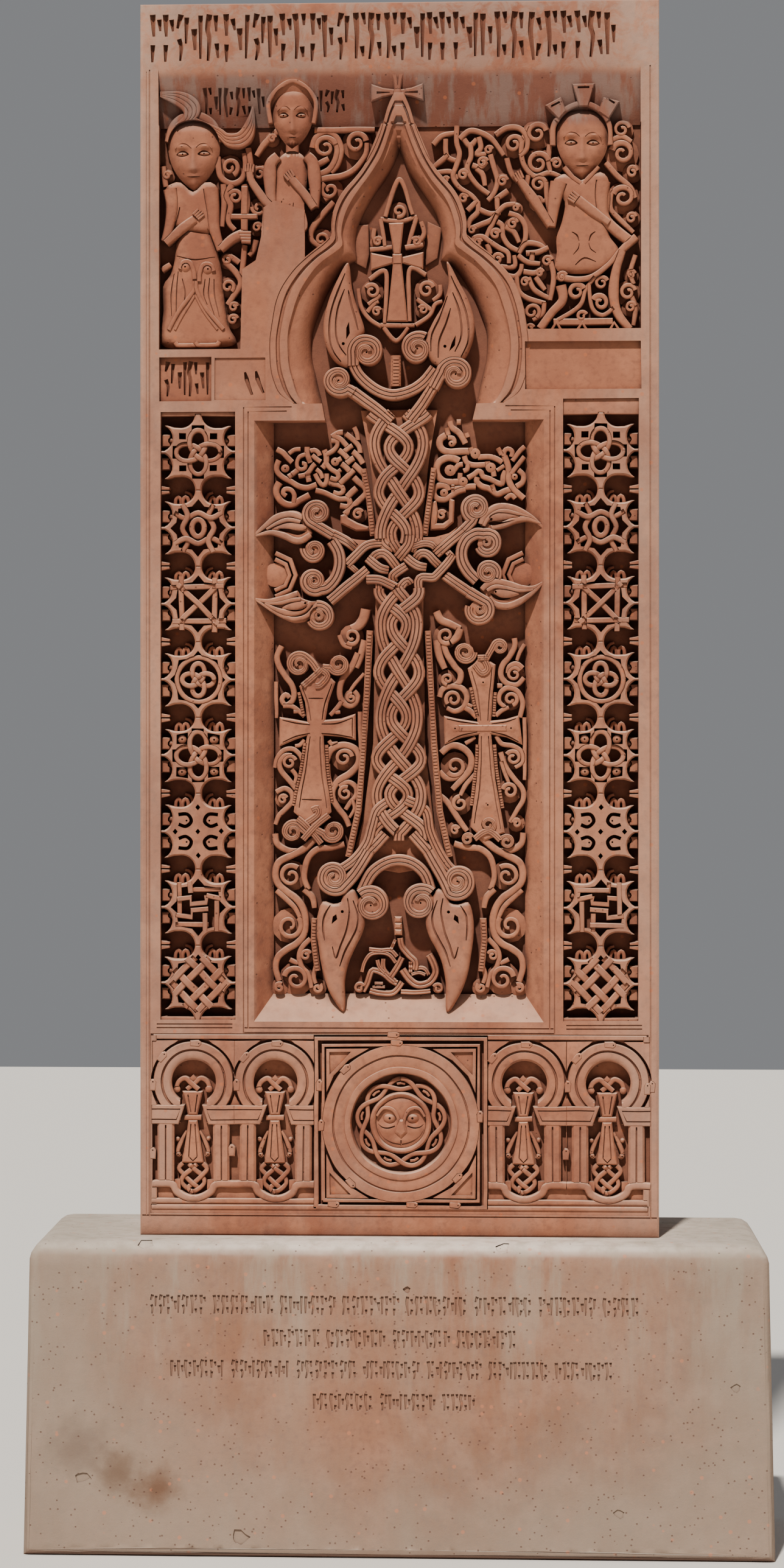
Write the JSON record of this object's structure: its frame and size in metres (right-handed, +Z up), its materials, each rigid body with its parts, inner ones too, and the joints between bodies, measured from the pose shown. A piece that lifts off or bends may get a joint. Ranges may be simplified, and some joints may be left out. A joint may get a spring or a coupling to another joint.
{
  "type": "carved cross stone on a plinth",
  "caption": "Tall carved stone slab with a large knotwork cross in a sunk niche, figures above and an arcade below, standing on a plain block.",
  "frame": {"origin": "centre of the underside of the plinth's bounding box", "axes": "+Z up, the carved face looks towards -Y, +X to the right of someone facing it"},
  "size_m": [1.43, 0.465, 2.9803],
  "materials": {
    "red_tuff": "chiselled red tuff, matt, with grey-beige weathering on the outer faces",
    "weathered_tuff": "sawn and weathered tuff, matt, with pits and water streaks"
  },
  "bodies": {
    "root": {"cross_stone": "red_tuff", "plinth": "weathered_tuff"}
  },
  "joints": []
}
